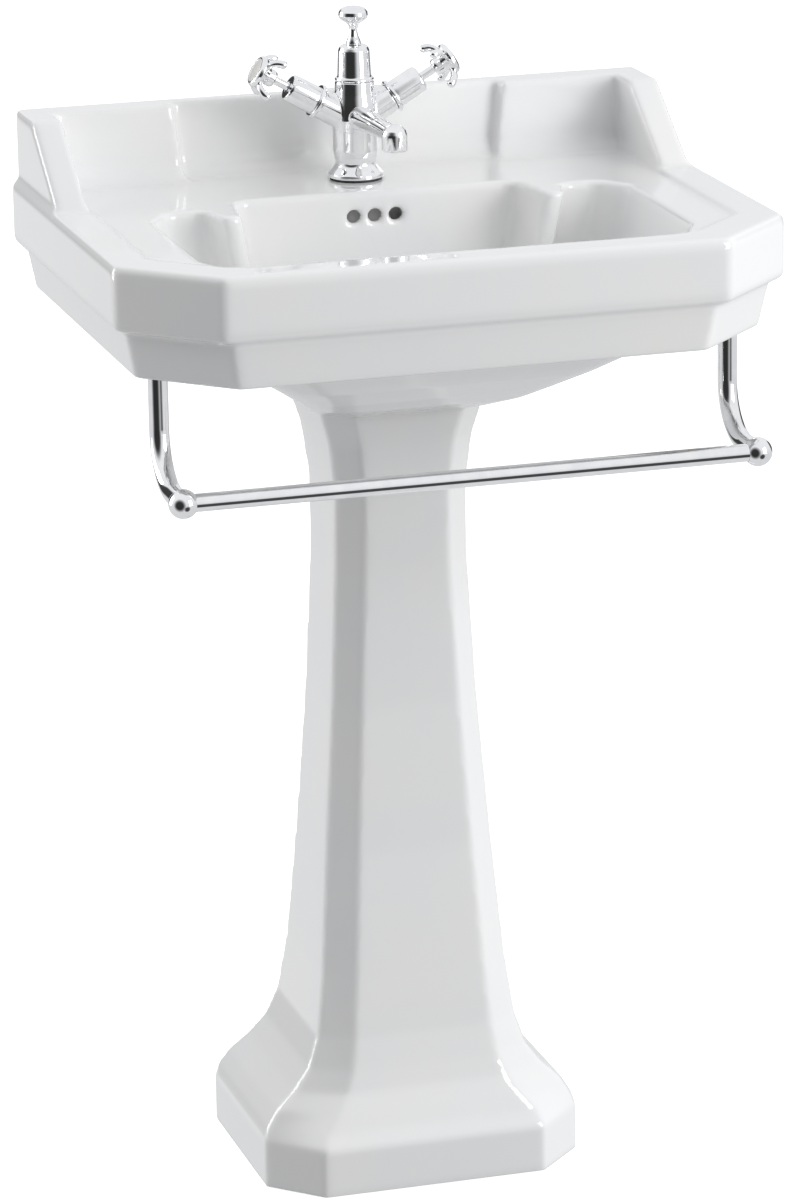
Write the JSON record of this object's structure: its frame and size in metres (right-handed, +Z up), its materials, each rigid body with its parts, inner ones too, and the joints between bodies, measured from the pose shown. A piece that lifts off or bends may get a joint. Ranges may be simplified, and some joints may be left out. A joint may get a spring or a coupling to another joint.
{
  "type": "pedestal sink",
  "caption": "Wash basin with upstand and stepped apron on a hollow tapered pedestal, with a two-handle mixer tap, pop-up waste, trap and towel rail.",
  "frame": {"origin": "on the floor, under the middle of the basin's width and depth", "axes": "+Z up, +Y toward the wall, +X to the right when facing the basin"},
  "size_m": [0.61, 0.47, 1.0713],
  "materials": {
    "basin_china": "glossy",
    "pedestal_china": "glossy",
    "chrome": "polished",
    "brass": "satin",
    "copper": "satin",
    "rubber": "matte",
    "porcelain": "glossy",
    "steel": "satin",
    "black_plastic": "matte"
  },
  "bodies": {
    "fixed": {"basin": "basin_china", "pedestal": "pedestal_china", "pedestal_cushion": "rubber", "tap_seal": "rubber", "tap_body": "chrome", "bell": "chrome", "spout": "chrome", "flow_straightener": "black_plastic", "tap_stud": "brass", "clamp_seal": "rubber", "clamp_plate": "steel", "stud_nut": "brass", "waste_flange_seal": "rubber", "waste_flange": "chrome", "waste_washer": "rubber", "waste_nut": "brass", "waste_body": "chrome", "ball_nut": "chrome", "trap_inlet_nut": "chrome", "trap_body": "chrome", "trap_cup_seal": "rubber", "trap_cup": "chrome", "trap_outlet_nut": "chrome", "outlet_pipe": "chrome", "left_hanger": "chrome", "right_hanger": "chrome", "left_rail_ball": "chrome", "right_rail_ball": "chrome", "towel_rail": "chrome", "hanger_collars": "chrome", "hanger_nuts": "brass", "hot_tail": "copper", "hot_shroud_ring": "chrome", "hot_shroud": "chrome", "hot_cartridge": "brass", "cold_tail": "copper", "cold_shroud_ring": "chrome", "cold_shroud": "chrome", "cold_cartridge": "brass"},
    "hot_valve": {"hot_spindle": "chrome", "hot_handle": "chrome", "hot_index": "porcelain", "hot_handle_screw": "steel"},
    "cold_valve": {"cold_spindle": "chrome", "cold_handle": "chrome", "cold_index": "porcelain", "cold_handle_screw": "steel"},
    "lift": {"lift_knob": "chrome", "lift_rod": "chrome", "link_strap": "steel", "strap_screws": "steel"},
    "lever": {"pivot_rod": "steel"},
    "stopper": {"plug": "chrome", "plug_seal": "rubber"}
  },
  "joints": [
    {"name": "hot_turn", "type": "hinge", "parent": "fixed", "child": "hot_valve", "pos_m": [0, 0.15, 0.9647], "axis": [-0.866, 0, 0.5], "range_deg": [0, 90]},
    {"name": "cold_turn", "type": "hinge", "parent": "fixed", "child": "cold_valve", "pos_m": [0, 0.15, 0.9647], "axis": [-0.866, 0, -0.5], "range_deg": [0, 90]},
    {"name": "knob_lift", "type": "slide", "parent": "fixed", "child": "lift", "axis": [0, 0, 1], "range_m": [0, 0.022]},
    {"name": "lever_swing", "type": "hinge", "parent": "fixed", "child": "lever", "pos_m": [0, 0.071, 0.69], "axis": [1, 0, 0], "range_deg": [0, 16.8]},
    {"name": "plug_drop", "type": "slide", "parent": "fixed", "child": "stopper", "axis": [0, 0, 1], "range_m": [-0.0083, 0]}
  ],
  "couplings": [
    {"joint": "lever_swing", "follows": "knob_lift", "rad_per_m": 13.271},
    {"joint": "plug_drop", "follows": "knob_lift", "ratio": -0.3716}
  ]
}
